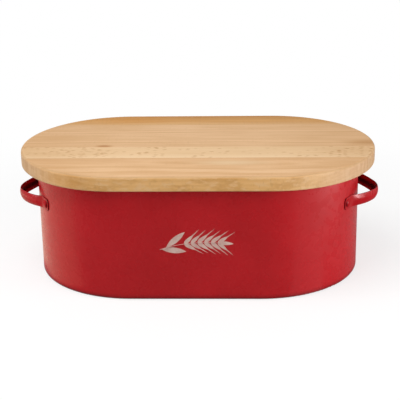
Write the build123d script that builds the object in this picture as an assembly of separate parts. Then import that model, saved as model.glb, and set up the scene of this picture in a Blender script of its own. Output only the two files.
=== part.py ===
"""Oval steel bread bin with a lift-off board lid of edge-glued beech staves.

The bin stands on the inturned flange at the foot of its wall, with its long axis along X and its front
towards -Y. The origin is the centre of the footprint, on the surface that the bin stands on, and Z is up.
All sizes are in millimetres.
"""

import math
import os

from build123d import *

# Bin: a wall of rolled sheet with straight sides and half-round ends, and a base plate
BIN_LENGTH = 392.0
BIN_DEPTH = 240.0
BIN_HEIGHT = 135.0
SHEET = 0.8
FOOT_BEND_RADIUS = 3.0
FOOT_FLANGE = 12.0
RIM_CURL = 5.0
SEAM_LAP = 10.0
SEAM_CLEARANCE = 4.0
SEAM_GROOVE_WIDTH = 0.6
SEAM_GROOVE_DEPTH = 0.3
BASE_FIT = 0.3
BASE_MARGIN = 18.0
BASE_STEP = 3.0
BASE_RISE = 2.5

# Handles: a strap riveted to each round end, with flat feet and a bowed grip that is tilted down a little
HANDLE_SPAN = 111.4
HANDLE_REACH = 25.5
HANDLE_DROP = 36.6
HANDLE_TILT = 9.0
HANDLE_TIP_RADIUS = 33.0
HANDLE_TIP_ANGLE = math.radians(27.0)
HANDLE_BEND_RADIUS = 7.5
STRAP_WIDTH = 15.0
STRAP_THICKNESS = 1.2
STRAP_BOW = math.radians(56.0)
STRAP_FLARE = 9.0
RIVET_FROM_BEND = 8.0
FOOT_BEYOND_RIVET = 7.0
FOOT_CORNER = 5.0

# Rivets and the washers under their closed ends
RIVET_SHANK = 4.8
RIVET_HEAD = 9.5
RIVET_HEAD_HEIGHT = 1.8
RIVET_TAIL = 7.5
RIVET_TAIL_HEIGHT = 1.5
RIVET_EDGE = 0.4
WASHER = 12.0
WASHER_THICKNESS = 0.8
HOLE_CLEARANCE = 0.1
SEAT_GAP = 0.05

# Lid: a board of four staves, with a step underneath that drops into the bin's mouth
LID_END_OVERHANG = 19.0
LID_SIDE_OVERHANG = 5.0
LID_THICKNESS = 18.0
LID_TOP_ROUND = 3.0
LID_UNDER_ROUND = 2.0
LID_SEAT_GAP = 0.3
PLUG_DEPTH = 5.0
PLUG_PLAY = 2.0
PLUG_CHAMFER = 1.0
GLUE_LINE_REAR = 81.8
GLUE_LINE_MIDDLE = -12.4
GLUE_LINE_FRONT = -55.5

# Sizes that follow from the driving dimensions
WALL_RADIUS = BIN_DEPTH / 2
END_CENTRE = BIN_LENGTH / 2 - WALL_RADIUS
INNER_RADIUS = WALL_RADIUS - SHEET
CURL_RADIUS = RIM_CURL / 2
LID_LENGTH = BIN_LENGTH + 2 * LID_END_OVERHANG
LID_DEPTH = BIN_DEPTH + 2 * LID_SIDE_OVERHANG
LID_UNDERSIDE = BIN_HEIGHT + LID_SEAT_GAP
LID_TOP = LID_UNDERSIDE + LID_THICKNESS
PLUG_INSET = RIM_CURL + PLUG_PLAY
HANDLE_MIDDLE = BIN_HEIGHT - HANDLE_DROP
BOW_RADIUS = (STRAP_WIDTH - STRAP_THICKNESS) / STRAP_BOW
BOW_RISE = BOW_RADIUS * (1 - math.cos(STRAP_BOW / 2))
FOOT_RADIUS = WALL_RADIUS + SEAT_GAP + STRAP_THICKNESS / 2
FOOT_FACE_RADIUS = FOOT_RADIUS + STRAP_THICKNESS / 2
BEND_ANGLE = math.asin(HANDLE_SPAN / 2 / FOOT_RADIUS)
RIVET_ANGLE = BEND_ANGLE + RIVET_FROM_BEND / FOOT_RADIUS
STRIP_END_ANGLE = RIVET_ANGLE + (FOOT_BEYOND_RIVET + FOOT_CORNER) / FOOT_RADIUS
WASHER_SEAT = math.sqrt(INNER_RADIUS**2 - (WASHER / 2) ** 2) - SEAT_GAP

SIDES = {"left": -1, "right": 1}
CORNERS = {"front": -1, "rear": 1}


def facing(angle):
    """The level direction at an angle from the long axis."""
    return Vector(math.cos(angle), math.sin(angle))


def angle_of(direction):
    """The angle of a level direction from the long axis."""
    return math.atan2(direction.Y, direction.X)


def polar(radius, angle):
    """A point of the plan, from the centre of the right-hand round end."""
    return Vector(END_CENTRE, 0) + facing(angle) * radius


def around_the_oval(section):
    """Carries a section, drawn as distance from the long axis against height, round the whole oval."""
    start = Plane(origin=(END_CENTRE, 0, 0), x_dir=(0, -1, 0), z_dir=(-1, 0, 0))
    placed = start * section
    front = extrude(placed, amount=2 * END_CENTRE)
    right = revolve(placed, axis=Axis((END_CENTRE, 0, 0), (0, 0, 1)), revolution_arc=180)
    half = front + right
    return half + half.rotate(Axis.Z, 180)


def rivet_axis(side, corner):
    """The radial plane of one rivet: its origin on the round end's axis, its Z outwards through the wall."""
    outwards = (side * math.cos(RIVET_ANGLE), corner * math.sin(RIVET_ANGLE), 0)
    return Plane(origin=(side * END_CENTRE, 0, HANDLE_MIDDLE), x_dir=(0, 0, 1), z_dir=outwards)


def rivet_places():
    """The name and the axis plane of each of the four rivets."""
    return {f"{s}_{c}": rivet_axis(SIDES[s], CORNERS[c]) for s in SIDES for c in CORNERS}


def drill(shape, radius, inner, outer):
    """Drills every rivet hole through shape, from one distance of the round ends' axes to another."""
    for axis in rivet_places().values():
        bit = Cylinder(radius, outer - inner, align=(Align.CENTER, Align.CENTER, Align.MIN))
        shape = shape - axis * Pos(0, 0, inner) * bit
    return shape


def make_bin_wall():
    """The wall: foot flange, upright sheet, rim curled inwards, and the lap where the sheet's ends meet."""
    bend = Vector(WALL_RADIUS - FOOT_BEND_RADIUS, FOOT_BEND_RADIUS)
    curl = Vector(WALL_RADIUS - CURL_RADIUS, BIN_HEIGHT - CURL_RADIUS)
    flange_edge = WALL_RADIUS - FOOT_FLANGE

    def on(centre, radius, degrees):
        return centre + Vector(radius, 0).rotate(Axis.Z, degrees)

    inner_bend = FOOT_BEND_RADIUS - SHEET
    inner_curl = CURL_RADIUS - SHEET
    outline = [
        Line((flange_edge, 0), on(bend, FOOT_BEND_RADIUS, -90)),
        ThreePointArc(*[on(bend, FOOT_BEND_RADIUS, a) for a in (-90, -45, 0)]),
        Line(on(bend, FOOT_BEND_RADIUS, 0), on(curl, CURL_RADIUS, 0)),
        ThreePointArc(*[on(curl, CURL_RADIUS, a) for a in (0, 135, 270)]),
        Line(on(curl, CURL_RADIUS, 270), on(curl, inner_curl, 270)),
        ThreePointArc(*[on(curl, inner_curl, a) for a in (270, 135, 0)]),
        Line(on(curl, inner_curl, 0), on(bend, inner_bend, 0)),
        ThreePointArc(*[on(bend, inner_bend, a) for a in (0, -45, -90)]),
        Line(on(bend, inner_bend, -90), (flange_edge, SHEET)),
        Line((flange_edge, SHEET), (flange_edge, 0)),
    ]
    wall = around_the_oval(make_face(outline))

    lap_foot = FOOT_BEND_RADIUS + SEAM_CLEARANCE
    lap_height = BIN_HEIGHT - RIM_CURL - SEAM_CLEARANCE - lap_foot
    lap = Box(SEAM_LAP, SHEET, lap_height, align=(Align.CENTER, Align.MAX, Align.MIN))
    groove = Box(SEAM_GROOVE_WIDTH, SEAM_GROOVE_DEPTH, lap_height, align=(Align.CENTER, Align.MAX, Align.MIN))
    wall = wall + Pos(0, INNER_RADIUS, lap_foot) * lap
    wall = wall - Pos(-SEAM_LAP / 2, WALL_RADIUS, lap_foot) * groove
    hole = RIVET_SHANK / 2 + HOLE_CLEARANCE
    return drill(wall, hole, INNER_RADIUS - RIM_CURL, WALL_RADIUS + RIM_CURL)


def make_base_panel():
    """The base plate, which lies on the wall's foot flange and has a raised, stiffening field."""
    edge = WALL_RADIUS - FOOT_BEND_RADIUS - BASE_FIT
    step_foot = edge - BASE_MARGIN
    step_top = step_foot - BASE_STEP
    low = SHEET
    high = SHEET + BASE_RISE
    outline = Polyline(
        (0, high),
        (step_top, high),
        (step_foot, low),
        (edge, low),
        (edge, low + SHEET),
        (step_foot, low + SHEET),
        (step_top, high + SHEET),
        (0, high + SHEET),
        close=True,
    )
    return around_the_oval(make_face(outline))


def strap_section(bowed):
    """The strap's section, X outwards and Y up: flat, or bowed outwards and as wide round its curve."""
    half_thickness = STRAP_THICKNESS / 2
    lean = STRAP_BOW / 2 if bowed else 0
    rise = BOW_RISE if bowed else 0
    half_height = BOW_RADIUS * math.sin(lean) if bowed else STRAP_WIDTH / 2 - half_thickness

    def edge(across, along, up):
        outwards = Vector(math.cos(lean), up * math.sin(lean))
        upwards = Vector(-math.sin(lean), up * math.cos(lean))
        return Vector(0, up * half_height) + outwards * across + upwards * along

    outer = [edge(half_thickness, 0, -1), Vector(rise + half_thickness, 0), edge(half_thickness, 0, 1)]
    inner = [edge(-half_thickness, 0, 1), Vector(rise - half_thickness, 0), edge(-half_thickness, 0, -1)]
    top = ThreePointArc(outer[2], edge(0, half_thickness, 1), inner[0])
    bottom = ThreePointArc(inner[2], edge(0, half_thickness, -1), outer[0])
    if bowed:
        sides = [ThreePointArc(*outer), ThreePointArc(*inner)]
    else:
        sides = [Line(outer[0], outer[2]), Line(inner[0], inner[2])]
    return make_face([sides[0], top, sides[1], bottom])


def station(point, angle):
    """The plane of the strap's section at a point where its outer side faces an angle: X outwards, Y up."""
    return Plane(origin=point, x_dir=facing(angle), z_dir=facing(angle - math.pi / 2))


def arm_arc(tip_centre, bend_centre):
    """The centre and radius of an arm's arc, which runs on from the tip's arc and meets the foot's bend."""
    tip_facing = facing(HANDLE_TIP_ANGLE)
    between = bend_centre - tip_centre
    radii = HANDLE_TIP_RADIUS + HANDLE_BEND_RADIUS
    further = (radii**2 - between.dot(between)) / (between.dot(tip_facing) - radii) / 2
    return tip_centre - tip_facing * further, HANDLE_TIP_RADIUS + further


def make_strap():
    """The right-hand handle's strap, at height zero and with its feet's ends uncut: feet, arms and tip."""
    bend_centre = polar(FOOT_RADIUS + HANDLE_BEND_RADIUS, BEND_ANGLE)
    grip_face = END_CENTRE + WALL_RADIUS + HANDLE_REACH
    tip_centre = Vector(grip_face - BOW_RISE - STRAP_THICKNESS / 2 - HANDLE_TIP_RADIUS, 0)
    arm_centre, arm_radius = arm_arc(tip_centre, bend_centre)
    root_angle = angle_of(bend_centre - arm_centre)
    flare_angle = root_angle - STRAP_FLARE / arm_radius

    def on_arm(angle):
        return arm_centre + facing(angle) * arm_radius

    arm_root = on_arm(root_angle)
    flare_end = on_arm(flare_angle)
    arm_middle = on_arm((flare_angle + HANDLE_TIP_ANGLE) / 2)
    arm_tip = on_arm(HANDLE_TIP_ANGLE)
    tip = tip_centre + facing(0) * HANDLE_TIP_RADIUS

    strip_end = polar(FOOT_RADIUS, STRIP_END_ANGLE)
    foot_middle = polar(FOOT_RADIUS, (STRIP_END_ANGLE + BEND_ANGLE) / 2)
    foot_bend = polar(FOOT_RADIUS, BEND_ANGLE)
    bend_middle = bend_centre - facing((BEND_ANGLE + root_angle) / 2) * HANDLE_BEND_RADIUS
    foot_path = Wire([
        ThreePointArc(strip_end, foot_middle, foot_bend),
        ThreePointArc(foot_bend, bend_middle, arm_root),
    ])
    near_arm = [flare_end, arm_middle, arm_tip]
    far_arm = [Vector(point.X, -point.Y) for point in reversed(near_arm)]
    grip_path = Wire([
        ThreePointArc(*near_arm),
        ThreePointArc(arm_tip, tip, far_arm[0]),
        ThreePointArc(*far_arm),
    ])

    flat = strap_section(bowed=False)
    bowed = station(flare_end, flare_angle) * strap_section(bowed=True)
    roots = Axis((arm_root.X, 0, 0), (0, 1, 0))
    grip = sweep(bowed, path=grip_path).rotate(roots, HANDLE_TILT)
    flare = loft([station(arm_root, root_angle) * flat, bowed.rotate(roots, HANDLE_TILT)])
    foot = sweep(station(strip_end, STRIP_END_ANGLE) * flat, path=foot_path)
    arm = foot + flare
    return grip + arm + mirror(arm, about=Plane.XZ)


def make_handle(side):
    """One strap handle, with the ends of its feet rounded off and drilled for the rivets."""
    strap = Pos(0, 0, HANDLE_MIDDLE) * make_strap()
    depth = 2 * HANDLE_BEND_RADIUS
    foot_outline = RectangleRounded(STRAP_WIDTH, 2 * FOOT_BEYOND_RIVET, FOOT_CORNER)
    corners_start = FOOT_BEYOND_RIVET - FOOT_CORNER
    block = Box(2 * STRAP_WIDTH, 2 * STRAP_WIDTH, depth, align=(Align.CENTER, Align.MIN, Align.CENTER))
    waste = Pos(0, corners_start, 0) * block - extrude(foot_outline, amount=depth, both=True)
    for corner in CORNERS.values():
        towards_end = Rot(0, 0, 0 if corner < 0 else 180)
        strap = strap - rivet_axis(1, corner) * Pos(0, 0, FOOT_RADIUS) * towards_end * waste
    strap = strap if side > 0 else strap.rotate(Axis.Z, 180)
    return drill(strap, RIVET_SHANK / 2 + HOLE_CLEARANCE, INNER_RADIUS, FOOT_FACE_RADIUS + RIM_CURL)


def make_rivet():
    """A domed rivet on the Z axis, at its distances from the axis of the round end that it sits in."""
    tail_seat = WASHER_SEAT - WASHER_THICKNESS
    head_seat = FOOT_FACE_RADIUS + SEAT_GAP
    shank = RIVET_SHANK / 2
    head = RIVET_HEAD / 2
    tail = RIVET_TAIL / 2

    def dome(radius, height, seat, way):
        rim = Vector(radius, seat + way * RIVET_EDGE)
        crest = Vector(0, seat + way * height)
        rise = height - RIVET_EDGE
        ball = (radius**2 + rise**2) / (2 * rise)
        half = math.asin(radius / ball) / 2
        shoulder = Vector(ball * math.sin(half), crest.Y - way * ball * (1 - math.cos(half)))
        return rim, shoulder, crest

    tail_dome = dome(tail, RIVET_TAIL_HEIGHT, tail_seat, -1)
    head_dome = dome(head, RIVET_HEAD_HEIGHT, head_seat, 1)
    under_tail = [(tail, tail_seat), (shank, tail_seat)]
    under_head = [(shank, head_seat), (head, head_seat)]
    profile = [
        ThreePointArc(*reversed(tail_dome)),
        Polyline(tail_dome[0], *under_tail, *under_head, head_dome[0]),
        ThreePointArc(*head_dome),
        Line(head_dome[2], tail_dome[2]),
    ]
    return revolve(Plane.XZ * make_face(profile), axis=Axis.Z)


def make_washer():
    """A flat washer on the Z axis, against the inside of the wall."""
    disc = Circle(WASHER / 2) - Circle(RIVET_SHANK / 2 + HOLE_CLEARANCE)
    return Pos(0, 0, WASHER_SEAT - WASHER_THICKNESS) * extrude(disc, amount=WASHER_THICKNESS)


def make_lid_staves():
    """The lid's staves, cut from one board at its glue lines."""
    board = Pos(0, 0, LID_UNDERSIDE) * extrude(SlotOverall(LID_LENGTH, LID_DEPTH), amount=LID_THICKNESS)
    board = fillet(board.faces().sort_by(Axis.Z)[-1].edges(), LID_TOP_ROUND)
    board = fillet(board.faces().sort_by(Axis.Z)[0].edges(), LID_UNDER_ROUND)
    outline = SlotOverall(BIN_LENGTH - 2 * PLUG_INSET, BIN_DEPTH - 2 * PLUG_INSET)
    plug = Pos(0, 0, LID_UNDERSIDE - PLUG_DEPTH) * extrude(outline, amount=PLUG_DEPTH)
    plug = chamfer(plug.faces().sort_by(Axis.Z)[0].edges(), PLUG_CHAMFER)
    board = board + plug

    lines = [LID_DEPTH / 2, GLUE_LINE_REAR, GLUE_LINE_MIDDLE, GLUE_LINE_FRONT, -LID_DEPTH / 2]
    names = ["lid_stave_rear", "lid_stave_wide", "lid_stave_pale", "lid_stave_front"]
    staves = {}
    for name, rear, front in zip(names, lines, lines[1:]):
        strip = Box(LID_LENGTH, rear - front, 2 * LID_TOP, align=(Align.CENTER, Align.MIN, Align.CENTER))
        staves[name] = board & Pos(0, front, LID_TOP) * strip
    return staves


def make_parts():
    """Every piece of the bread bin by name."""
    parts = {"bin_wall": make_bin_wall(), "base_panel": make_base_panel()}
    for name, side in SIDES.items():
        parts[f"handle_{name}"] = make_handle(side)
    for name, axis in rivet_places().items():
        parts[f"rivet_{name}"] = axis * make_rivet()
        parts[f"washer_{name}"] = axis * make_washer()
    parts.update(make_lid_staves())
    return parts


os.makedirs("parts", exist_ok=True)
for part_name, part_shape in make_parts().items():
    export_step(part_shape, f"parts/{part_name}.step")
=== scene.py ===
"""Dresses the oval bread bin: coated steel, a beech board lid, a printed wheat ear, and the studio round it.

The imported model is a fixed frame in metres, with Z up, the bin's long axis along X and its front towards -Y.
"""

import logging
import math
from dataclasses import dataclass, field, replace
from enum import Enum
from functools import cached_property
from typing import Any, Optional, Union

import bpy
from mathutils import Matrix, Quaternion, Vector


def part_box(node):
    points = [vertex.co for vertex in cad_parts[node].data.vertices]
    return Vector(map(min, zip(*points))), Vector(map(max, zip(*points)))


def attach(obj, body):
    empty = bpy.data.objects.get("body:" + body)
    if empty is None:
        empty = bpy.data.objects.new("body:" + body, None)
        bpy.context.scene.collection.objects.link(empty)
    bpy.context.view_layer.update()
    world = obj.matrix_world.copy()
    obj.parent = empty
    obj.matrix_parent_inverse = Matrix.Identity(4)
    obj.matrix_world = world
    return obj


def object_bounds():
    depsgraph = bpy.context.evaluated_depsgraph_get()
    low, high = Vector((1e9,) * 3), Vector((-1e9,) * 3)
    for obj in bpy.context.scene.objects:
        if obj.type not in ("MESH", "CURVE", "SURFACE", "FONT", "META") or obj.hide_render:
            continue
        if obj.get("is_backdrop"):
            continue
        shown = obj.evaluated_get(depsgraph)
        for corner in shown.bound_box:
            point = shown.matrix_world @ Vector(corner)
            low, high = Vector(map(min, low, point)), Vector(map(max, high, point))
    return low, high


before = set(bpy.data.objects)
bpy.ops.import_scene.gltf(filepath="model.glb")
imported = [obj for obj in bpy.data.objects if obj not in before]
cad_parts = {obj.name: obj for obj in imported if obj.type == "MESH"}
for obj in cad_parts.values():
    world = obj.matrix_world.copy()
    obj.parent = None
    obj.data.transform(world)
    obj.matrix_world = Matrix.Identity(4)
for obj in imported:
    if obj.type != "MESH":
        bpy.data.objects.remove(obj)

Colour = tuple[float, float, float, float]
Triple = tuple[float, float, float]
Range = tuple[float, float]
Box = tuple[Vector, Vector]
Socket = bpy.types.NodeSocket
Outputs = bpy.types.NodeOutputs
Value = Union[Socket, float]
Tint = Union[Socket, Colour]
Feeds = dict[Union[str, int], Any]

LOG = logging.getLogger("bread_bin")
MM = 0.001
LID_TOP = 153.3 * MM
CARD_LEVEL = -0.1 * MM
FLOOR_LEVEL = -0.2 * MM
WHITE: Colour = (1.0, 1.0, 1.0, 1.0)
NOISE_RANGE: Range = (0.3, 0.7)
SHOULDER_PEAK = 4 / 27


def srgb(red: int, green: int, blue: int) -> Colour:
    """Turns display values into the linear colour that Blender's sockets take.

    Args:
        red: Red, from 0 to 255.
        green: Green, from 0 to 255.
        blue: Blue, from 0 to 255.

    Returns:
        The linear colour, fully opaque.
    """
    linear = []
    for value in (red / 255, green / 255, blue / 255):
        linear.append(value / 12.92 if value <= 0.04045 else ((value + 0.055) / 1.055) ** 2.4)
    return (linear[0], linear[1], linear[2], 1.0)


class NodeSheet:
    """A node tree that is written one node at a time."""

    def __init__(self, tree: bpy.types.NodeTree) -> None:
        """Takes over a tree and clears it."""
        self.tree = tree
        tree.nodes.clear()

    def add(self, kind: str, feeds: Optional[Feeds] = None, **settings: Any) -> bpy.types.Node:
        """Adds a node.

        Args:
            kind: Blender's type name of the node.
            feeds: What goes into its inputs, by name or number: a socket to link, or a value.
            settings: Properties of the node itself.

        Returns:
            The new node.
        """
        node = self.tree.nodes.new(kind)
        for name, value in settings.items():
            setattr(node, name, value)
        for key, value in (feeds or {}).items():
            if isinstance(value, Socket):
                self.tree.links.new(value, node.inputs[key])
            else:
                node.inputs[key].default_value = value
        return node

    def maths(self, operation: str, first: Value, second: Value = 0.0) -> Socket:
        """The result of one Math node, by Blender's name of the operation."""
        return self.add("ShaderNodeMath", {0: first, 1: second}, operation=operation).outputs[0]

    def times(self, first: Value, second: Value) -> Socket:
        """The product of two values."""
        return self.maths("MULTIPLY", first, second)

    def away(self, value: Socket, middle: float) -> Socket:
        """How far a value is from a middle, on either side."""
        return self.maths("ABSOLUTE", self.maths("SUBTRACT", value, middle))

    def vector_maths(self, operation: str, first: Socket, second: Union[Socket, Triple]) -> Socket:
        """The vector that one Vector Math node gives, by Blender's name of the operation."""
        return self.add("ShaderNodeVectorMath", {0: first, 1: second}, operation=operation).outputs[0]

    def length(self, vector: Socket) -> Socket:
        """The length of a vector."""
        return self.add("ShaderNodeVectorMath", {0: vector}, operation="LENGTH").outputs["Value"]

    def split(self, vector: Socket) -> Outputs:
        """The X, Y and Z of a vector, as three sockets."""
        return self.add("ShaderNodeSeparateXYZ", {0: vector}).outputs

    def join(self, x: Value, y: Value, z: Value = 0.0) -> Socket:
        """The vector of an X, a Y and a Z."""
        return self.add("ShaderNodeCombineXYZ", {0: x, 1: y, 2: z}).outputs[0]

    def smooth(self, value: Socket, reach: Range, start: float = 0.0, end: float = 1.0) -> Socket:
        """Maps a value smoothly from a reach to a start and an end, and holds it beyond both."""
        feeds = {"Value": value, "From Min": reach[0], "From Max": reach[1], "To Min": start, "To Max": end}
        return self.add("ShaderNodeMapRange", feeds, interpolation_type="SMOOTHSTEP").outputs["Result"]

    def noise(self, point: Socket, waves: Union[float, Triple], detail: float = 2.0,
              roughness: float = 0.5) -> Socket:
        """A noise from 0 to 1 in the space of a point.

        Args:
            point: The place, in metres.
            waves: Waves to the metre, the same all ways or along each axis.
            detail: Octaves of finer noise.
            roughness: How strong the finer noise is.

        Returns:
            The noise's socket.
        """
        scale = waves
        if isinstance(waves, tuple):
            point = self.vector_maths("MULTIPLY", point, waves)
            scale = 1.0
        feeds = {"Vector": point, "Scale": scale, "Detail": detail, "Roughness": roughness}
        return self.add("ShaderNodeTexNoise", feeds).outputs["Fac"]

    def mix(self, share: Value, first: Tint, second: Tint) -> Socket:
        """Mixes two colours, from the first at a share of 0 to the second at 1."""
        return self.add("ShaderNodeMix", {0: share, 6: first, 7: second}, data_type="RGBA").outputs[2]

    def bump(self, height: Socket, depth: float, strength: float) -> Socket:
        """Turns a height from 0 to 1 into a normal, by how deep it is in metres and how much of it shows."""
        feeds = {"Height": height, "Distance": depth, "Strength": strength}
        return self.add("ShaderNodeBump", feeds).outputs[0]


class Surface(NodeSheet):
    """A material's node tree, which tints its colour step by step and ends in one Principled shader."""

    def __init__(self, name: str, base: Colour, shift: Triple = (0.0, 0.0, 0.0)) -> None:
        """Starts a new material.

        Args:
            name: The material's name.
            base: The colour that the tints go on.
            shift: How far its patterns are moved.
        """
        self.material = bpy.data.materials.new(name)
        self.material.use_nodes = True
        super().__init__(self.material.node_tree)
        self.coordinates = self.add("ShaderNodeTexCoord").outputs
        self.colour: Tint = base
        self.shift = shift

    @property
    def point(self) -> Socket:
        """The place on the object, in metres."""
        return self.coordinates["Object"]

    @cached_property
    def moved(self) -> Socket:
        """The place on the object, moved by the shift."""
        return self.vector_maths("ADD", self.point, self.shift)

    @cached_property
    def place(self) -> Outputs:
        """The X, Y and Z of the place on the object."""
        return self.split(self.point)

    @cached_property
    def facing(self) -> Outputs:
        """The X, Y and Z of the way that the surface faces."""
        return self.split(self.coordinates["Normal"])

    def tint(self, share: Value, tone: Colour) -> None:
        """Mixes a share of another tone into the colour so far."""
        self.colour = self.mix(share, self.colour, tone)

    def close(self, roughness: Socket, normal: Socket, **others: Value) -> bpy.types.Material:
        """Ends the tree in its shader.

        Args:
            roughness: Roughness.
            normal: Normal, from a bump.
            others: Other inputs of the shader, with underscores for spaces.

        Returns:
            The finished material.
        """
        feeds: Feeds = {"Base Color": self.colour, "Roughness": roughness, "Normal": normal}
        feeds.update((name.replace("_", " "), value) for name, value in others.items())
        shader = self.add("ShaderNodeBsdfPrincipled", feeds)
        self.add("ShaderNodeOutputMaterial", {"Surface": shader.outputs[0]})
        return self.material


@dataclass(frozen=True)
class PowderCoat:
    """Satin powder coat on steel: a slightly uneven red with an orange-peel skin, rubbed where it stands, and
    darkened with painted shade towards the foot.
    """

    name: str
    bright: Colour = srgb(191, 24, 32)
    deep: Colour = srgb(182, 21, 28)
    cloud_waves: float = 16.0
    # Painted shade: the dark tone mixed in near the foot, and on the straps in the loop, at foot ends and on
    # top edges.
    thin_ink_or_shade: Colour = srgb(104, 6, 12)
    foot_shade_height: float = 8.0 * MM
    foot_shade_share: float = 0.7
    steel: Colour = srgb(150, 148, 146)
    scuff_waves: float = 240.0
    scuff_range: Range = (0.5, 0.64)
    scuff_height: float = 0.5 * MM
    sheen_waves: float = 90.0
    roughness: Range = (0.24, 0.32)
    peel_waves: float = 620.0
    peel_depth: float = 0.05 * MM
    peel_strength: float = 0.2
    specular: float = 0.25

    def material(self) -> bpy.types.Material:
        """Builds the coat's material.

        Returns:
            The finished material.
        """
        sheet = Surface(self.name, self.deep)
        cloud = sheet.noise(sheet.point, self.cloud_waves, detail=3.0)
        sheet.tint(sheet.smooth(cloud, NOISE_RANGE), self.bright)
        # Painted shade mixed into the red.
        sheet.tint(self.painted_shade(sheet), self.thin_ink_or_shade)
        rim = sheet.smooth(sheet.place["Z"], (0.0, self.scuff_height), 1.0, 0.0)
        scuff = sheet.noise(sheet.point, self.scuff_waves, detail=4.0, roughness=0.6)
        bare = sheet.times(rim, sheet.smooth(scuff, self.scuff_range))
        sheet.tint(bare, self.steel)
        roughness = sheet.smooth(sheet.noise(sheet.point, self.sheen_waves), NOISE_RANGE, *self.roughness)
        peel = sheet.noise(sheet.point, self.peel_waves, detail=1.0)
        normal = sheet.bump(peel, self.peel_depth, self.peel_strength)
        return sheet.close(roughness, normal, Metallic=bare, Specular_IOR_Level=self.gloss(sheet))

    def painted_shade(self, sheet: Surface) -> Socket:
        """How much painted shade darkens the coat, from 0 to 1: most at the foot, for the shade near the
        floor.
        """
        return sheet.smooth(sheet.place["Z"], (0.0, self.foot_shade_height), self.foot_shade_share, 0.0)

    def gloss(self, sheet: Surface) -> Value:
        """How much the coat mirrors: the same all over."""
        return self.specular


@dataclass(frozen=True)
class Grip:
    """Where the right-hand handle is. The left-hand one mirrors it.

    Attributes:
        loop_centre: X of the middle of the loop.
        height: Z of the middle of the feet.
        half_width: Half the strap's width.
        root: X at which the grip starts to fall.
        fall: How far the grip falls for each metre outwards.
        foot_start: Distance from the long axis at which the foot and the rivet's head start.
        foot_angle: The rivet's direction from the axis of the round end, from the X axis.
    """

    loop_centre: float
    height: float
    half_width: float
    root: float
    fall: float
    foot_start: float
    foot_angle: float

    @classmethod
    def measured(cls) -> "Grip":
        """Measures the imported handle, its rivet and the wall.

        Returns:
            The grip's places.
        """
        wall, strap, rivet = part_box("bin_wall")[1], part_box("handle_right"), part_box("rivet_right_rear")
        middle = (rivet[0] + rivet[1]) / 2
        half_width = strap[1].z - middle.z
        return cls(
            loop_centre=(wall.x + strap[1].x) / 2,
            height=middle.z,
            half_width=half_width,
            root=rivet[1].x,
            fall=(middle.z - half_width - strap[0].z) / (strap[1].x - rivet[1].x),
            foot_start=rivet[0].y,
            foot_angle=math.atan2(middle.y, middle.x - wall.x + wall.y),
        )


@dataclass(frozen=True)
class StrapCoat(PowderCoat):
    """The coat of the handles and rivets, with painted shade inside the bowed loop, on top edges, and where
    each foot ends.

    Each tilt is a range of how far the surface faces one way, from -1 to 1.
    """

    grip: Grip = field(default_factory=Grip.measured)
    inner_reach: Range = (2 * MM, 12 * MM)
    hollow_reach: Range = (0.1, 0.75)
    hollow_sag: float = 1.6 * MM
    lip_shade_share: float = 0.15
    end_tilt: Range = (0.25, 0.6)
    end_shade_share: float = 0.95
    edge_tilt: Range = (0.6, 0.9)
    edge_share: float = 0.6
    under_tilt: Range = (-0.15, 0.45)
    under_specular: float = 0.02
    matt_tilt: Range = (0.5, 0.8)

    def gloss(self, sheet: Surface) -> Value:
        """How much the coat mirrors: less on the undersides, and not at all on the top edges."""
        shine = sheet.smooth(sheet.facing["Z"], self.under_tilt, self.under_specular, self.specular)
        return sheet.times(shine, sheet.smooth(sheet.facing["Z"], self.matt_tilt, 1.0, 0.0))

    def painted_shade(self, sheet: Surface) -> Socket:
        """How much painted shade darkens the coat, from 0 to 1: the most of that inside the loop, at the
        foot's end and on the top edge.

        Args:
            sheet: The material's tree.

        Returns:
            The share's socket.
        """
        # Painted shade on the up-facing top edges.
        edge = sheet.smooth(sheet.facing["Z"], self.edge_tilt, 0.0, self.edge_share)
        darkest_shade = sheet.maths("MAXIMUM", self.inner_side_shade(sheet), self.foot_end_shade(sheet))
        return sheet.maths("MAXIMUM", darkest_shade, edge)

    def inner_side_shade(self, sheet: Surface) -> Socket:
        """Painted shade on the side that looks into the loop, darkest in the hollow of the bow and lighter at
        its lips.

        Args:
            sheet: The material's tree.

        Returns:
            The share's socket.
        """
        place = sheet.place
        out = sheet.maths("ABSOLUTE", place["X"])
        inwards = sheet.maths("SUBTRACT", self.grip.loop_centre, out)
        along_x = sheet.times(sheet.times(sheet.facing["X"], sheet.maths("SIGN", place["X"])), inwards)
        along_y = sheet.times(sheet.facing["Y"], place["Y"])
        inner = sheet.smooth(sheet.maths("SUBTRACT", along_x, along_y), self.inner_reach)
        beyond = sheet.maths("MAXIMUM", sheet.maths("SUBTRACT", out, self.grip.root), 0.0)
        level = sheet.maths("ADD", place["Z"], sheet.times(beyond, self.grip.fall))
        off = sheet.away(level, self.grip.height - self.hollow_sag)
        bow = (self.grip.half_width * self.hollow_reach[0], self.grip.half_width * self.hollow_reach[1])
        return sheet.times(inner, sheet.smooth(off, bow, 1.0, self.lip_shade_share))

    def foot_end_shade(self, sheet: Surface) -> Socket:
        """Painted shade on the narrow faces at the end of a foot, and on the far side of its rivet's head.

        Args:
            sheet: The material's tree.

        Returns:
            The share's socket.
        """
        place = sheet.place
        along_x = sheet.times(sheet.facing["X"], sheet.maths("SIGN", place["X"]))
        along_y = sheet.times(sheet.facing["Y"], sheet.maths("SIGN", place["Y"]))
        forth = sheet.times(along_y, math.cos(self.grip.foot_angle))
        back = sheet.times(along_x, math.sin(self.grip.foot_angle))
        end = sheet.smooth(sheet.maths("SUBTRACT", forth, back), self.end_tilt, 0.0, self.end_shade_share)
        beyond = sheet.maths("GREATER_THAN", sheet.maths("ABSOLUTE", place["Y"]), self.grip.foot_start)
        return sheet.times(end, beyond)


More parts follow.
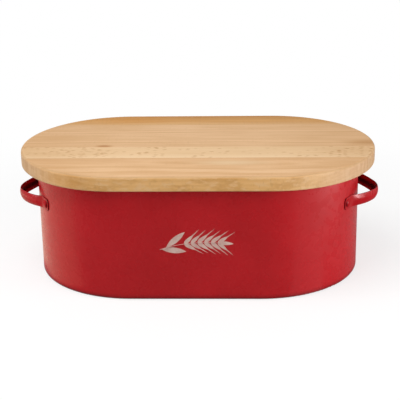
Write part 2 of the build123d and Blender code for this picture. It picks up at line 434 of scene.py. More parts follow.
@dataclass(frozen=True)
class PlatedSteel:
    """Zinc-plated steel with faint turning marks and a mottled shine."""

    name: str
    light: Colour = srgb(196, 198, 198)
    dark: Colour = srgb(160, 163, 164)
    mottle_waves: float = 420.0
    mottle_range: Range = (0.25, 0.75)
    roughness: Range = (0.28, 0.42)
    mark_waves: Triple = (2600.0, 2600.0, 300.0)
    mark_depth: float = 0.02 * MM
    mark_strength: float = 0.3

    def material(self) -> bpy.types.Material:
        """Builds the plating's material.

        Returns:
            The finished material.
        """
        sheet = Surface(self.name, self.dark)
        mottle = sheet.noise(sheet.point, self.mottle_waves, detail=3.0, roughness=0.6)
        sheet.tint(mottle, self.light)
        roughness = sheet.smooth(mottle, self.mottle_range, *self.roughness)
        normal = sheet.bump(sheet.noise(sheet.point, self.mark_waves), self.mark_depth, self.mark_strength)
        return sheet.close(roughness, normal, Metallic=1.0)


@dataclass(frozen=True)
class PrintInk:
    """Matt pale ink, printed a little unevenly on the coat."""

    name: str
    full: Colour = srgb(224, 194, 182)
    thin_ink_or_shade: Colour = srgb(207, 168, 158)
    cover_waves: float = 130.0
    cover_range: Range = (0.7, 1.2)
    roughness: Range = (0.5, 0.62)
    grain_waves: float = 900.0
    grain_depth: float = 0.02 * MM
    grain_strength: float = 0.3
    specular: float = 0.3

    def material(self) -> bpy.types.Material:
        """Builds the ink's material.

        Returns:
            The finished material.
        """
        sheet = Surface(self.name, self.thin_ink_or_shade)
        grain = sheet.noise(sheet.point, self.grain_waves, detail=3.0, roughness=0.65)
        cover = sheet.maths("ADD", grain, sheet.noise(sheet.point, self.cover_waves))
        sheet.tint(sheet.smooth(cover, self.cover_range), self.full)
        roughness = sheet.smooth(grain, NOISE_RANGE, *self.roughness)
        normal = sheet.bump(grain, self.grain_depth, self.grain_strength)
        return sheet.close(roughness, normal, Specular_IOR_Level=self.specular)


@dataclass(frozen=True)
class WoodMark:
    """A streak of another tone that follows the grain on the top of a stave, full in its core."""

    x: float
    y: float
    length: float
    width: float
    tone: Colour
    share: float
    core: float = 0.0

    def strength(self, sheet: Surface) -> Socket:
        """How much of the streak's tone shows.

        Args:
            sheet: The material's tree.

        Returns:
            The share's socket.
        """
        away = sheet.vector_maths("SUBTRACT", sheet.point, (self.x, self.y, LID_TOP))
        scaled = sheet.vector_maths("DIVIDE", away, (self.length / 2, self.width / 2, self.width))
        return sheet.smooth(sheet.length(scaled), (self.core, 1.0), self.share, 0.0)


@dataclass(frozen=True)
class Stretch:
    """A stretch along X that is strongest in its middle and gone at its ends."""

    middle: float
    half_length: float
    share: float

    def strength(self, sheet: Surface) -> Socket:
        """How strong it is, from 0 to its share."""
        off = sheet.away(sheet.place["X"], self.middle)
        return sheet.smooth(off, (0.0, self.half_length), self.share, 0.0)


@dataclass(frozen=True)
class Stain(Stretch):
    """A stretch of the board's front edge that has another tone."""

    tone: Colour


@dataclass(frozen=True)
class Fade:
    """A tone that is strongest at one distance from the long axis and is gone at another."""

    tone: Colour
    start: float
    end: float
    share: float


@dataclass(frozen=True)
class Beech:
    """Oiled beech from its own place in a trunk: growth rings round a pith, fibres along X, and ray flecks.

    A drift is a stretch where flecks gather, or thin out if its share is below 0. Each tilt is a range of how
    far the surface faces along X, from -1 to 1.
    """

    name: str
    light: Colour
    dark: Colour
    pith: tuple[float, float]
    shift: Triple
    figure_range: Range = (0.36, 0.64)
    ring_pitch: float = 3.4 * MM
    ring_share: float = 0.4
    wander_waves: Triple = (2.6, 11.0, 11.0)
    wander_reach: float = 16 * MM
    cloud_waves: Triple = (14.0, 40.0, 40.0)
    cloud_share: float = 0.3
    fibre_waves: Triple = (12.0, 420.0, 420.0)
    fleck_tone: Colour = srgb(158, 104, 60)
    fleck_share: float = 0.4
    fleck_depth: float = 0.45
    fleck_sink: float = 0.5
    fleck_cells: Triple = (190.0, 700.0, 130.0)
    fleck_radius: Range = (0.12, 0.42)
    gather_waves: Triple = (16.0, 50.0, 50.0)
    drifts: tuple[Stretch, ...] = ()
    fades: tuple[Fade, ...] = ()
    marks: tuple[WoodMark, ...] = ()
    tip_tone: Colour = srgb(194, 146, 94)
    tip_share: float = 0.32
    tip_reach: Range = (70 * MM, 215 * MM)
    glue_tone: Colour = srgb(168, 118, 70)
    glue_reach: float = 0.8 * MM
    glue_share: float = 0.4
    edge_tone: Colour = srgb(246, 189, 106)
    edge_share: float = 0.5
    patch_tone: Colour = srgb(196, 136, 62)
    patch_share: float = 0.42
    patch_waves: Triple = (34.0, 60.0, 80.0)
    patch_range: Range = (0.46, 0.64)
    mottle_tone: Colour = srgb(238, 194, 142)
    mottle_share: float = 0.7
    mottle_waves: Triple = (90.0, 90.0, 240.0)
    mottle_range: Range = (0.5, 0.66)
    stains: tuple[Stain, ...] = ()
    tick_cells: Triple = (480.0, 200.0, 150.0)
    tick_depth: float = 0.15
    # Darker end grain; the left end's larger share is painted shade.
    end_grain_and_shade_tone: Colour = srgb(172, 134, 101)
    right_tilt: Range = (0.25, 0.9)
    right_end_grain_and_shade_share: float = 0.56
    left_tilt: Range = (-0.95, -0.4)
    left_end_grain_and_shade_share: float = 0.66
    streak_tone: Colour = srgb(236, 208, 172)
    streak_share: float = 0.3
    streak_waves: Triple = (40.0, 210.0, 30.0)
    streak_range: Range = (0.45, 0.65)
    # Painted shade on the rounding of the top edge.
    arris_shade_tone: Colour = srgb(190, 154, 113)
    arris_shade_share: float = 0.55
    arris_end_shade_share: float = 0.6
    roughness: Range = (0.62, 0.5)
    pore_depth: float = 0.12 * MM
    pore_strength: float = 0.25
    specular: float = 0.2

    def material(self, joints: tuple[float, ...]) -> bpy.types.Material:
        """Builds the stave's material.

        Args:
            joints: The Y of each glue line that the stave has.

        Returns:
            The finished material.
        """
        sheet = Surface(self.name, self.dark, self.shift)
        fibre = sheet.noise(sheet.moved, self.fibre_waves, detail=4.0, roughness=0.65)
        fleck = self.flecks(sheet, self.fleck_cells)
        sheet.tint(self.figure(sheet, fibre), self.light)
        across = sheet.place["Y"]
        for fade in self.fades:
            sheet.tint(sheet.smooth(across, (fade.start, fade.end), fade.share, 0.0), fade.tone)
        tips = sheet.smooth(sheet.maths("ABSOLUTE", sheet.place["X"]), self.tip_reach, 0.0, self.tip_share)
        sheet.tint(tips, self.tip_tone)
        self.long_edges(sheet)
        self.round_ends(sheet)
        self.shoulder_shade(sheet)
        sheet.tint(sheet.times(fleck, self.fleck_depth), self.fleck_tone)
        for joint in joints:
            line = sheet.smooth(sheet.away(across, joint), (0.0, self.glue_reach), self.glue_share, 0.0)
            sheet.tint(line, self.glue_tone)
        for mark in self.marks:
            sheet.tint(mark.strength(sheet), mark.tone)
        roughness = sheet.smooth(fibre, NOISE_RANGE, *self.roughness)
        pores = sheet.maths("SUBTRACT", fibre, sheet.times(fleck, self.fleck_sink))
        normal = sheet.bump(pores, self.pore_depth, self.pore_strength)
        return sheet.close(roughness, normal, Specular_IOR_Level=self.specular)

    def long_edges(self, sheet: Surface) -> None:
        """Tints the upright faces along the board: warm and patchy, with stains and ticks.

        Args:
            sheet: The material's tree.
        """
        upright = sheet.times(sheet.facing["Y"], sheet.facing["Y"])
        steep = sheet.times(upright, upright)
        sheet.tint(sheet.times(steep, self.edge_share), self.edge_tone)
        blotch = sheet.noise(sheet.moved, self.patch_waves, detail=3.0, roughness=0.6)
        patch = sheet.smooth(blotch, self.patch_range, 0.0, self.patch_share)
        sheet.tint(sheet.times(patch, upright), self.patch_tone)
        mottle = sheet.noise(sheet.moved, self.mottle_waves, roughness=0.6)
        pale = sheet.smooth(mottle, self.mottle_range, 0.0, self.mottle_share)
        sheet.tint(sheet.times(pale, upright), self.mottle_tone)
        for stain in self.stains:
            sheet.tint(sheet.times(stain.strength(sheet), upright), stain.tone)
        tick = sheet.times(self.flecks(sheet, self.tick_cells), self.tick_depth)
        sheet.tint(sheet.times(tick, upright), self.fleck_tone)

    def round_ends(self, sheet: Surface) -> None:
        """Tints the upright faces round the board's ends: greyer and darker end grain, with pale end-grain
        streaks, and painted shade that makes the left end darker than the right.

        Args:
            sheet: The material's tree.
        """
        sideways = sheet.facing["X"]
        right = sheet.smooth(sideways, self.right_tilt, 0.0, self.right_end_grain_and_shade_share)
        left = sheet.smooth(sideways, self.left_tilt, self.left_end_grain_and_shade_share, 0.0)
        sheet.tint(sheet.maths("MAXIMUM", left, right), self.end_grain_and_shade_tone)
        pores = sheet.noise(sheet.moved, self.streak_waves, roughness=0.6)
        streak = sheet.smooth(pores, self.streak_range, 0.0, self.streak_share)
        sheet.tint(sheet.times(streak, sheet.times(sideways, sideways)), self.streak_tone)

    def shoulder_shade(self, sheet: Surface) -> None:
        """Darkens the rounding along the board's top edge with painted shade, and more so at the board's ends.

        The share follows z^4 (1 - z^2), where z is how far the surface faces up, scaled to a peak of 1.

        Args:
            sheet: The material's tree.
        """
        up = sheet.maths("MAXIMUM", sheet.facing["Z"], 0.0)
        tilted = sheet.maths("SUBTRACT", 1.0, sheet.times(sheet.facing["Z"], sheet.facing["Z"]))
        rounding = sheet.times(sheet.times(sheet.maths("POWER", up, 4.0), tilted), 1 / SHOULDER_PEAK)
        ends = sheet.times(sheet.facing["X"], sheet.facing["X"])
        share = sheet.maths("ADD", self.arris_shade_share, sheet.times(ends, self.arris_end_shade_share))
        sheet.tint(sheet.times(rounding, share), self.arris_shade_tone)

    def figure(self, sheet: Surface, fibre: Socket) -> Socket:
        """The wood's figure: rings, fibres and slow clouds of tone together.

        Args:
            sheet: The material's tree.
            fibre: The fibres, from 0 to 1.

        Returns:
            The figure's socket, 0 where the wood is darkest and 1 where it is lightest.
        """
        cloud = sheet.noise(sheet.moved, self.cloud_waves, detail=3.0)
        fibre_share = 1 - self.ring_share - self.cloud_share
        total = sheet.times(self.rings(sheet), self.ring_share)
        total = sheet.maths("ADD", total, sheet.times(cloud, self.cloud_share))
        total = sheet.maths("ADD", total, sheet.times(fibre, fibre_share))
        return sheet.smooth(total, self.figure_range)

    def rings(self, sheet: Surface) -> Socket:
        """The growth rings: uneven bands at growing distance from a pith that wanders along the grain.

        Args:
            sheet: The material's tree.

        Returns:
            The rings' socket, from 0 to 1.
        """
        slow = {"Vector": sheet.vector_maths("MULTIPLY", sheet.moved, self.wander_waves), "Scale": 1.0}
        drawn = sheet.add("ShaderNodeTexNoise", slow).outputs["Color"]
        wander = sheet.vector_maths("MULTIPLY", drawn, (0.0, self.wander_reach, self.wander_reach))
        axes = sheet.split(sheet.vector_maths("ADD", sheet.point, wander))
        across = sheet.maths("SUBTRACT", axes["Y"], self.pith[0])
        down = sheet.maths("SUBTRACT", axes["Z"], self.pith[1])
        squares = sheet.maths("ADD", sheet.maths("POWER", across, 2.0), sheet.maths("POWER", down, 2.0))
        turns = sheet.maths("DIVIDE", sheet.maths("SQRT", squares), self.ring_pitch)
        feeds = {"W": turns, "Scale": 1.0}
        return sheet.add("ShaderNodeTexNoise", feeds, noise_dimensions="1D").outputs["Fac"]

    def flecks(self, sheet: Surface, cells: Triple) -> Socket:
        """The ray flecks: short dark spindles, thinned out by chance and gathered in drifts.

        Args:
            sheet: The material's tree.
            cells: How many lie in a metre along each axis.

        Returns:
            The flecks' socket, from 0 to 1.
        """
        stretched = sheet.vector_maths("MULTIPLY", sheet.moved, cells)
        cell = sheet.add("ShaderNodeTexVoronoi", {"Vector": stretched, "Scale": 1.0}).outputs
        spindle = sheet.smooth(cell["Distance"], self.fleck_radius, 1.0, 0.0)
        cloud = sheet.noise(sheet.moved, self.gather_waves)
        gathered = sheet.times(sheet.maths("SUBTRACT", cloud, 0.5), 2.0)
        for drift in self.drifts:
            gathered = sheet.maths("ADD", gathered, drift.strength(sheet))
        draw = sheet.maths("ADD", sheet.split(cell["Color"])["X"], gathered)
        return sheet.times(spindle, sheet.smooth(draw, (1 - self.fleck_share, 1.0)))


def dress(node: str, material: bpy.types.Material) -> None:
    """Gives a CAD node its finish.

    Args:
        node: The node's name.
        material: The finish.
    """
    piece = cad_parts[node]
    if not piece.material_slots:
        piece.data.materials.append(material)
    for slot in piece.material_slots:
        slot.material = material
    LOG.info("%s: %s", node, material.name)


class Blade(Enum):
    """The shapes of the flat blades that the printed wheat ear is made of."""

    GRAIN = "round at the base"
    LEAF = "pointed at both ends"


@dataclass
class WheatPrint:
    """A wheat ear printed on the flat front of the wall, as one thin layer of ink.

    Places along the stem are shares of it, rises are shares of the dip, and tip_x is one of half the length.
    """

    front: float
    centre_x: float = 0.8 * MM
    centre_z: float = 69.5 * MM
    length: float = 81.0 * MM
    dip: float = 6.0 * MM
    bend_x: float = -8.0 * MM
    bend_rise: float = 0.9
    tip_x: float = 0.78
    tip_rise: float = 0.3
    stem_width: float = 1.8 * MM
    stem_points: int = 40
    ear_start: float = 0.4
    ear_end: float = 0.93
    pairs: int = 6
    grain_length: float = 14.5 * MM
    grain_width: float = 4.2 * MM
    grain_angle: float = math.radians(38.0)
    grain_taper: float = 0.42
    last_grain: float = 0.97
    awn_length: float = 25.0 * MM
    awn_width: float = 1.1 * MM
    leaf_length: float = 29.0 * MM
    leaf_width: float = 7.0 * MM
    leaf_angle: float = math.radians(25.0)
    leaf_starts: tuple[float, float] = (0.1, 0.02)
    seat: float = 0.01
    blade_points: int = 28
    blade_scale: Range = (0.93, 1.04)
    thickness: float = 0.12 * MM
    layer: float = 0.006 * MM
    seed: int = 4
    ink: PrintInk = field(default_factory=lambda: PrintInk("pale_print_ink"))

    def build(self) -> bpy.types.Object:
        """Makes the ear's mesh from its tree and fixes it to the bin.

        Returns:
            The finished piece.
        """
        tree, sizes = self.tree()
        piece = bpy.data.objects.new("wheat_print", bpy.data.meshes.new("wheat_print"))
        bpy.context.scene.collection.objects.link(piece)
        modifier = piece.modifiers.new("wheat_print", "NODES")
        modifier.node_group = tree
        for identifier, value in sizes.items():
            modifier[identifier] = value
        whole = piece.evaluated_get(bpy.context.evaluated_depsgraph_get())
        mesh = bpy.data.meshes.new_from_object(whole)
        piece.modifiers.remove(modifier)
        piece.data = mesh
        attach(piece, "bin")
        LOG.info("%s: %d faces", piece.name, len(mesh.polygons))
        return piece

    def tree(self) -> tuple[bpy.types.NodeTree, dict[str, Any]]:
        """Writes the Geometry Nodes tree of the ear, drawn flat and then stood up against the wall.

        Returns:
            The tree, and each modifier input's identifier with its value.
        """
        group = bpy.data.node_groups.new("wheat_ear", "GeometryNodeTree")
        sheet = NodeSheet(group)
        sizes: dict[str, Any] = {}
        for name in ("length", "grain_length", "grain_width", "grain_angle", "awn_length", "awn_width",
                     "stem_width", "leaf_length", "leaf_width", "leaf_angle", "thickness", "pairs", "seed"):
            value = getattr(self, name)
            kind = "NodeSocketInt" if isinstance(value, int) else "NodeSocketFloat"
            label = name.replace("_", " ").capitalize()
            socket = group.interface.new_socket(label, in_out="INPUT", socket_type=kind)
            sizes[socket.identifier] = value
        group.interface.new_socket("Geometry", in_out="OUTPUT", socket_type="NodeSocketGeometry")
        joined = sheet.add("GeometryNodeJoinGeometry")
        for number, part in enumerate(self.parts(sheet, sheet.add("NodeGroupInput").outputs)):
            lift = {"Geometry": part, "Translation": (0.0, 0.0, number * self.layer)}
            lifted = sheet.add("GeometryNodeTransform", lift).outputs[0]
            group.links.new(lifted, joined.inputs[0])
        place = {
            "Geometry": joined.outputs[0],
            "Translation": (self.centre_x, self.front, self.centre_z),
            "Rotation": (math.pi / 2, 0.0, 0.0),
        }
        stood = sheet.add("GeometryNodeTransform", place).outputs[0]
        solid = sheet.add("GeometryNodeRealizeInstances", {0: stood}).outputs[0]
        finish = {"Geometry": solid, "Material": self.ink.material()}
        inked = sheet.add("GeometryNodeSetMaterial", finish).outputs[0]
        sheet.add("NodeGroupOutput", {0: inked})
        return group, sizes

    def parts(self, sheet: NodeSheet, given: Outputs) -> list[Socket]:
        """The ear's parts from the lowest layer up: the stem, then each side's blades, then the last grain.

        Args:
            sheet: The tree.
            given: The tree's inputs.

        Returns:
            The parts' sockets.
        """
        stem = self.stem(sheet, given)
        profile = {"Width": given["Thickness"], "Height": given["Stem width"]}
        section = sheet.add("GeometryNodeCurvePrimitiveQuadrilateral", profile).outputs["Curve"]
        drawn = {"Curve": stem, "Profile Curve": section, "Fill Caps": True}
        parts = [sheet.add("GeometryNodeCurveToMesh", drawn).outputs["Mesh"]]
        grain = self.blade(sheet, given, Blade.GRAIN, given["Grain length"], given["Grain width"])
        awn = self.blade(sheet, given, Blade.LEAF, given["Awn length"], given["Awn width"])
        leaf = self.blade(sheet, given, Blade.LEAF, given["Leaf length"], given["Leaf width"])
        ear = (self.ear_start, self.ear_end)
        for side, leaf_start in zip((1.0, -1.0), self.leaf_starts):
            turn = sheet.times(given["Grain angle"], side)
            for blade in (grain, awn):
                parts.append(self.along(sheet, given, stem, blade, turn, ear, given["Pairs"]))
            turn = sheet.times(given["Leaf angle"], side)
            seat = (leaf_start, leaf_start + self.seat)
            parts.append(self.along(sheet, given, stem, leaf, turn, seat, 1))
        seat = (self.last_grain, self.last_grain + self.seat)
        parts.append(self.along(sheet, given, stem, grain, 0.0, seat, 1))
        return parts

    def stem(self, sheet: NodeSheet, given: Outputs) -> Socket:
        """The stem: one shallow bend from the cut end to the tip.

        Args:
            sheet: The tree.
            given: The tree's inputs.

        Returns:
            The curve's socket.
        """
        half = sheet.times(given["Length"], 0.5)
        feeds = {
            "Resolution": self.stem_points,
            "Start": sheet.join(sheet.times(half, -1.0), -self.dip),
            "Middle": (self.bend_x, self.dip * self.bend_rise, 0.0),
            "End": sheet.join(sheet.times(half, self.tip_x), self.dip * self.tip_rise),
        }
        return sheet.add("GeometryNodeCurveQuadraticBezier", feeds).outputs["Curve"]

    def blade(self, sheet: NodeSheet, given: Outputs, shape: Blade, length: Socket, width: Socket) -> Socket:
        """One flat grain, awn or leaf that starts at the origin and points along X.

        Args:
            sheet: The tree.
            given: The tree's inputs.
            shape: Round at the base like a grain, or pointed at both ends like a leaf.
            length: Its length.
            width: Its greatest width.

        Returns:
            The mesh's socket.
        """
        feeds = {"Vertices": self.blade_points, "Radius": 1.0, "Depth": given["Thickness"]}
        disc = sheet.add("GeometryNodeMeshCylinder", feeds).outputs["Mesh"]
        axes = sheet.split(sheet.add("GeometryNodeInputPosition").outputs[0])
        along = sheet.times(sheet.maths("ADD", axes["X"], 1.0), sheet.times(length, 0.5))
        if shape is Blade.GRAIN:
            narrow = sheet.maths("SUBTRACT", 1.0, sheet.times(axes["X"], self.grain_taper))
        else:
            narrow = sheet.maths("ABSOLUTE", axes["Y"])
        across = sheet.times(sheet.times(axes["Y"], narrow), sheet.times(width, 0.5))
        place = {"Geometry": disc, "Position": sheet.join(along, across, axes["Z"])}
        return sheet.add("GeometryNodeSetPosition", place).outputs[0]

    def along(self, sheet: NodeSheet, given: Outputs, stem: Socket, blade: Socket, turn: Value,
              reach: Range, count: Union[Socket, int]) -> Socket:
        """Sets blades along a stretch of the stem, each turned from the stem's own direction.

        Args:
            sheet: The tree.
            given: The tree's inputs.
            stem: The stem's curve.
            blade: The shape to repeat.
            turn: The angle from the stem.
            reach: Where the stretch starts and ends.
            count: How many there are.

        Returns:
            The instances' socket.
        """
        stretch = {"Curve": stem, "Start": reach[0], "End": reach[1]}
        spots = {"Curve": sheet.add("GeometryNodeTrimCurve", stretch).outputs[0], "Count": count}
        points = sheet.add("GeometryNodeCurveToPoints", spots, mode="COUNT").outputs
        tangent = sheet.split(points["Tangent"])
        heading = sheet.maths("ADD", sheet.maths("ARCTAN2", tangent["Y"], tangent["X"]), turn)
        chance = {"Seed": given["Seed"], 2: self.blade_scale[0], 3: self.blade_scale[1]}
        size = sheet.add("FunctionNodeRandomValue", chance, data_type="FLOAT").outputs[1]
        feeds = {
            "Points": points["Points"],
            "Instance": blade,
            "Rotation": sheet.join(0.0, 0.0, heading),
            "Scale": sheet.join(size, size, 1.0),
        }
        return sheet.add("GeometryNodeInstanceOnPoints", feeds).outputs[0]


@dataclass
class Bin:
    """The bin: its wall, base, handles, rivets and washers in their finishes, with the print on the front."""

    coat: PowderCoat = field(default_factory=lambda: PowderCoat("red_powder_coat"))
    # The straps share the wall's red paint: their darker tones are painted shade, as is their darkest tone in
    # the loop, at the foot ends and on the top edges.
    strap: StrapCoat = field(default_factory=lambda: StrapCoat(
        "red_strap_coat", srgb(181, 26, 33), srgb(171, 22, 29), thin_ink_or_shade=srgb(58, 3, 7), specular=0.6,
    ))
    rivet_specular: float = 0.07
    plating: PlatedSteel = field(default_factory=lambda: PlatedSteel("zinc_plated_steel"))

    def build(self) -> None:
        """Dresses the bin's nodes and prints the wheat ear."""
        coat = self.coat.material()
        rivet = replace(self.strap, name="red_rivet_coat", specular=self.rivet_specular)
        finishes = {
            "bin_": coat,
            "base_": coat,
            "handle_": self.strap.material(),
            "rivet_": rivet.material(),
            "washer_": self.plating.material(),
        }
        for node in sorted(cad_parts):
            for start, material in finishes.items():
                if node.startswith(start):
                    dress(node, material)
        WheatPrint(front=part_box("bin_wall")[0].y).build()


class Stave(Enum):
    """The staves of the board lid, from the rear to the front, with the beech that each is cut from."""

    REAR = Beech(
        "amber_beech", srgb(218, 167, 105), srgb(206, 151, 86), (0.02, -0.05), (1.3, 0.4, 0.2),
        glue_share=0.2, mottle_share=0.35,
        fades=(
            Fade(srgb(180, 122, 56), 125 * MM, 96 * MM, 0.8),
            Fade(srgb(222, 182, 136), 82 * MM, 98 * MM, 0.5),
        ),
        marks=(WoodMark(-90 * MM, 108 * MM, 210 * MM, 60 * MM, srgb(208, 142, 66), 0.42),),
    )
    WIDE = Beech(
        "rosy_beech", srgb(233, 191, 147), srgb(216, 172, 124), (0.25, -0.08), (3.7, 1.1, 0.6),
        fleck_share=0.3, fleck_depth=0.2, glue_share=0.2,
        marks=(
            WoodMark(-113.5 * MM, -8.5 * MM, 29 * MM, 14 * MM, srgb(168, 100, 26), 0.62, core=0.2),
            WoodMark(212 * MM, 4 * MM, 96 * MM, 34 * MM, srgb(170, 114, 44), 0.5, core=0.1),
        ),
    )
    PALE = Beech(
        "pale_beech", srgb(238, 201, 156), srgb(227, 189, 143), (-0.034, -0.3), (5.2, 2.3, 1.4),
        fleck_share=0.3, fleck_depth=0.95, fleck_cells=(105.0, 560.0, 130.0), glue_share=0.1,
        fleck_tone=srgb(168, 104, 16),
        drifts=(
            Stretch(-126 * MM, 60 * MM, 0.62), Stretch(-58 * MM, 44 * MM, 0.25),
            Stretch(50 * MM, 90 * MM, -0.22), Stretch(176 * MM, 36 * MM, 0.32),
        ),
        fades=(Fade(srgb(246, 214, 172), -55.5 * MM, -38 * MM, 0.6),),
    )
    FRONT = Beech(
        "tan_beech", srgb(236, 193, 147), srgb(217, 170, 120), (-0.06, 0.02), (7.9, 3.1, 2.2),
        fleck_share=0.6, fleck_depth=0.15, glue_share=0.3,
        fades=(Fade(srgb(218, 172, 124), -55.5 * MM, -74 * MM, 0.6),),
        stains=(
            Stain(-139 * MM, 42 * MM, 0.5, srgb(196, 136, 62)),
            Stain(168 * MM, 90 * MM, 0.34, srgb(238, 205, 168)),
        ),
        marks=(WoodMark(43 * MM, -74 * MM, 130 * MM, 30 * MM, srgb(240, 212, 172), 0.55),),
    )


@dataclass
class BoardLid:
    """The lid: a thick board of four edge-glued staves."""

    def build(self) -> None:
        """Dresses each stave in its own piece of beech, with a fine dark line at each glued edge."""
        boxes: dict[Stave, Box] = {stave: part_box(self.node(stave)) for stave in Stave}
        front_edge = min(low.y for low, _ in boxes.values())
        rear_edge = max(high.y for _, high in boxes.values())
        for stave, (low, high) in boxes.items():
            joints = tuple(edge for edge in (low.y, high.y) if front_edge < edge < rear_edge)
            dress(self.node(stave), stave.value.material(joints))

    @staticmethod
    def node(stave: Stave) -> str:
        """The name of a stave's CAD node."""
        return f"lid_stave_{stave.name.lower()}"


@dataclass(frozen=True)
class Softbox:
    """A studio lamp behind cloth, aimed at the object, which the object's gloss may mirror."""

    name: str
    place: Triple
    width: float
    height: float
    power: float
    mirrored: bool = True


@dataclass(frozen=True)
class Card:
    """A lit card that lies on the floor or stands beside the object, for its gloss alone."""

    name: str
    corners: tuple[Triple, ...]
    tone: Colour = WHITE
    glow: float = 1.0


def flat(*corners: tuple[float, float]) -> tuple[Triple, ...]:
    """The corners of a card that lies on the floor."""
    return tuple((x, y, CARD_LEVEL) for x, y in corners)


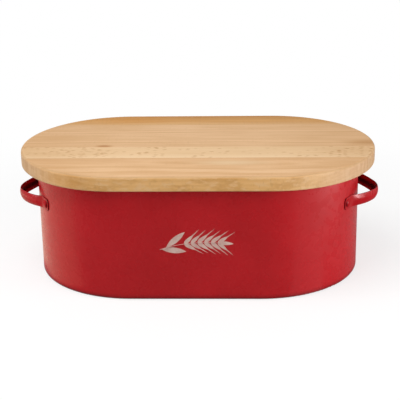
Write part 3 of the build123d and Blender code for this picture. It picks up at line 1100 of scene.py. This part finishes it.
@dataclass
class Studio:
    """A pale floor, a white background, soft lamps, cards for the gloss, and the camera."""

    aim: Vector
    floor_side: float = 24.0
    floor_tone: Colour = srgb(186, 186, 185)
    fill: float = 0.3
    sky_gloss: float = 0.7
    floor_gloss: float = 0.15
    shadow_share: float = 0.3
    shadow_reach: Range = (0.26, 0.62)
    focal_pixels: float = 1171.3
    distance: float = 1453.7 * MM
    elevation: float = math.radians(20.0)
    azimuth: float = math.radians(2.6)
    roll: float = math.radians(1.045)
    aim_side: float = 2.04 * MM
    aim_height: float = 80.2 * MM
    image_side: float = 400.0
    sensor: float = 36.0
    clip_start: float = 0.05
    lamps: tuple[Softbox, ...] = (
        Softbox("overhead_softbox", (-0.42, -0.5, 1.6), 1.0, 1.0, 16.0),
        Softbox("right_softbox", (1.02, -0.42, 0.32), 0.7, 0.6, 7.3),
        Softbox("left_softbox", (-1.1, -0.16, 0.32), 0.4, 0.6, 4.8, mirrored=False),
    )
    cards: tuple[Card, ...] = (
        Card("right_card", flat((0.11, -0.118), (0.62, -0.66), (0.95, -0.25), (0.15, -0.095)), glow=0.88),
        Card(
            "left_card",
            flat((-0.153, -0.117), (-0.206, -0.03), (-0.22, 0.3), (-0.458, 0.39), (-0.62, -0.23)),
            tone=srgb(255, 250, 226),
        ),
        Card(
            "gleam_card",
            ((0.62, -0.26, 0.002), (0.62, 0.0, 0.002), (0.62, 0.0, 0.13), (0.62, -0.26, 0.13)),
            glow=12.0,
        ),
    )

    def build(self) -> None:
        """Sets up the whole studio."""
        bpy.context.scene.view_settings.view_transform = "Standard"
        self.world()
        self.floor()
        for card in self.cards:
            self.card(card)
        for lamp in self.lamps:
            self.softbox(lamp)
        self.camera()

    def background(self, sheet: NodeSheet, gloss: float) -> tuple[Socket, Socket]:
        """How the background shows itself: to the camera, and in a reflection or through glass.

        Args:
            sheet: The tree.
            gloss: How bright it is in a reflection or through glass, where 1 is white.

        Returns:
            Whether a ray shows it, and how bright it is to that ray.
        """
        rays = sheet.add("ShaderNodeLightPath").outputs
        mirrored = sheet.maths("MAXIMUM", rays["Is Glossy Ray"], rays["Is Transmission Ray"])
        shown = sheet.maths("MAXIMUM", rays["Is Camera Ray"], mirrored)
        strength = sheet.maths("MAXIMUM", rays["Is Camera Ray"], sheet.times(mirrored, gloss))
        return shown, strength

    def world(self) -> None:
        """Makes a white background that lights the object as a dimmer fill."""
        world = bpy.data.worlds.new("white_studio")
        world.use_nodes = True
        bpy.context.scene.world = world
        sheet = NodeSheet(world.node_tree)
        shown, strength = self.background(sheet, self.sky_gloss)
        soft = sheet.add("ShaderNodeBackground", {"Color": WHITE, "Strength": self.fill})
        white = sheet.add("ShaderNodeBackground", {"Color": WHITE, "Strength": strength})
        both = sheet.add("ShaderNodeMixShader", {0: shown, 1: soft.outputs[0], 2: white.outputs[0]})
        sheet.add("ShaderNodeOutputWorld", {"Surface": both.outputs[0]})

    def panel(self, name: str, corners: tuple[Triple, ...]) -> tuple[bpy.types.Object, NodeSheet]:
        """Makes one flat panel of the studio.

        Args:
            name: The panel's name.
            corners: Its corners.

        Returns:
            The panel, and the tree of its material, which is still empty.
        """
        mesh = bpy.data.meshes.new(name)
        mesh.from_pydata(corners, [], [tuple(range(len(corners)))])
        panel = bpy.data.objects.new(name, mesh)
        bpy.context.scene.collection.objects.link(panel)
        material = bpy.data.materials.new(name)
        material.use_nodes = True
        mesh.materials.append(material)
        return panel, NodeSheet(material.node_tree)

    def floor(self) -> None:
        """Lays a pale floor that keeps the object's shadow and turns plain white further out."""
        half = self.floor_side / 2
        corners = ((-half, -half), (half, -half), (half, half), (-half, half))
        plane, sheet = self.panel("pale_floor", tuple((x, y, FLOOR_LEVEL) for x, y in corners))
        point = sheet.add("ShaderNodeTexCoord").outputs["Object"]
        shown, strength = self.background(sheet, self.floor_gloss)
        white_share = sheet.smooth(sheet.length(point), self.shadow_reach, 1 - self.shadow_share, 1.0)
        white = sheet.add("ShaderNodeEmission", {"Color": WHITE, "Strength": strength})
        paper = sheet.add("ShaderNodeBsdfDiffuse", {"Color": sheet.mix(shown, self.floor_tone, WHITE)})
        share = sheet.times(shown, white_share)
        both = sheet.add("ShaderNodeMixShader", {0: share, 1: paper.outputs[0], 2: white.outputs[0]})
        sheet.add("ShaderNodeOutputMaterial", {"Surface": both.outputs[0]})
        plane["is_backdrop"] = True

    def card(self, card: Card) -> None:
        """Sets up one card, which only the object's gloss shows.

        Args:
            card: The card's corners, tone and strength.
        """
        sheet_of_paper, sheet = self.panel(card.name, card.corners)
        glow = sheet.add("ShaderNodeEmission", {"Color": card.tone, "Strength": card.glow})
        sheet.add("ShaderNodeOutputMaterial", {"Surface": glow.outputs[0]})
        for ray in ("camera", "diffuse", "shadow", "transmission", "volume_scatter"):
            setattr(sheet_of_paper, f"visible_{ray}", False)
        sheet_of_paper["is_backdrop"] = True

    def softbox(self, lamp: Softbox) -> None:
        """Hangs one lamp and aims it at the object.

        Args:
            lamp: The lamp's place, size and power.
        """
        light = bpy.data.lights.new(lamp.name, "AREA")
        light.shape = "RECTANGLE"
        light.size = lamp.width
        light.size_y = lamp.height
        light.energy = lamp.power
        holder = bpy.data.objects.new(lamp.name, light)
        holder.location = lamp.place
        holder.rotation_mode = "QUATERNION"
        holder.rotation_quaternion = (self.aim - Vector(lamp.place)).to_track_quat("-Z", "Y")
        holder.visible_camera = False
        holder.visible_glossy = lamp.mirrored
        bpy.context.scene.collection.objects.link(holder)

    def camera(self) -> None:
        """Puts the camera where the photograph was taken from."""
        level, rise = math.cos(self.elevation), math.sin(self.elevation)
        side = Vector((math.cos(self.azimuth), math.sin(self.azimuth), 0.0))
        back = Vector((math.sin(self.azimuth) * level, -math.cos(self.azimuth) * level, rise))
        data = bpy.data.cameras.new("photo_camera")
        data.sensor_width = self.sensor
        data.lens = self.focal_pixels / self.image_side * self.sensor
        data.clip_start = self.clip_start
        camera = bpy.data.objects.new("photo_camera", data)
        camera.location = side * self.aim_side + Vector((0.0, 0.0, self.aim_height)) + back * self.distance
        camera.rotation_mode = "QUATERNION"
        turn = Quaternion((0.0, 0.0, 1.0), -self.roll)
        camera.rotation_quaternion = (-back).to_track_quat("-Z", "Y") @ turn
        bpy.context.scene.collection.objects.link(camera)
        bpy.context.scene.camera = camera


def main() -> None:
    """Dresses the bin and its lid, then sets up the studio."""
    logging.basicConfig(level=logging.INFO, format="%(name)s %(message)s")
    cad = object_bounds()
    Bin().build()
    BoardLid().build()
    Studio(aim=(cad[0] + cad[1]) / 2).build()


if __name__ == "__main__":
    main()
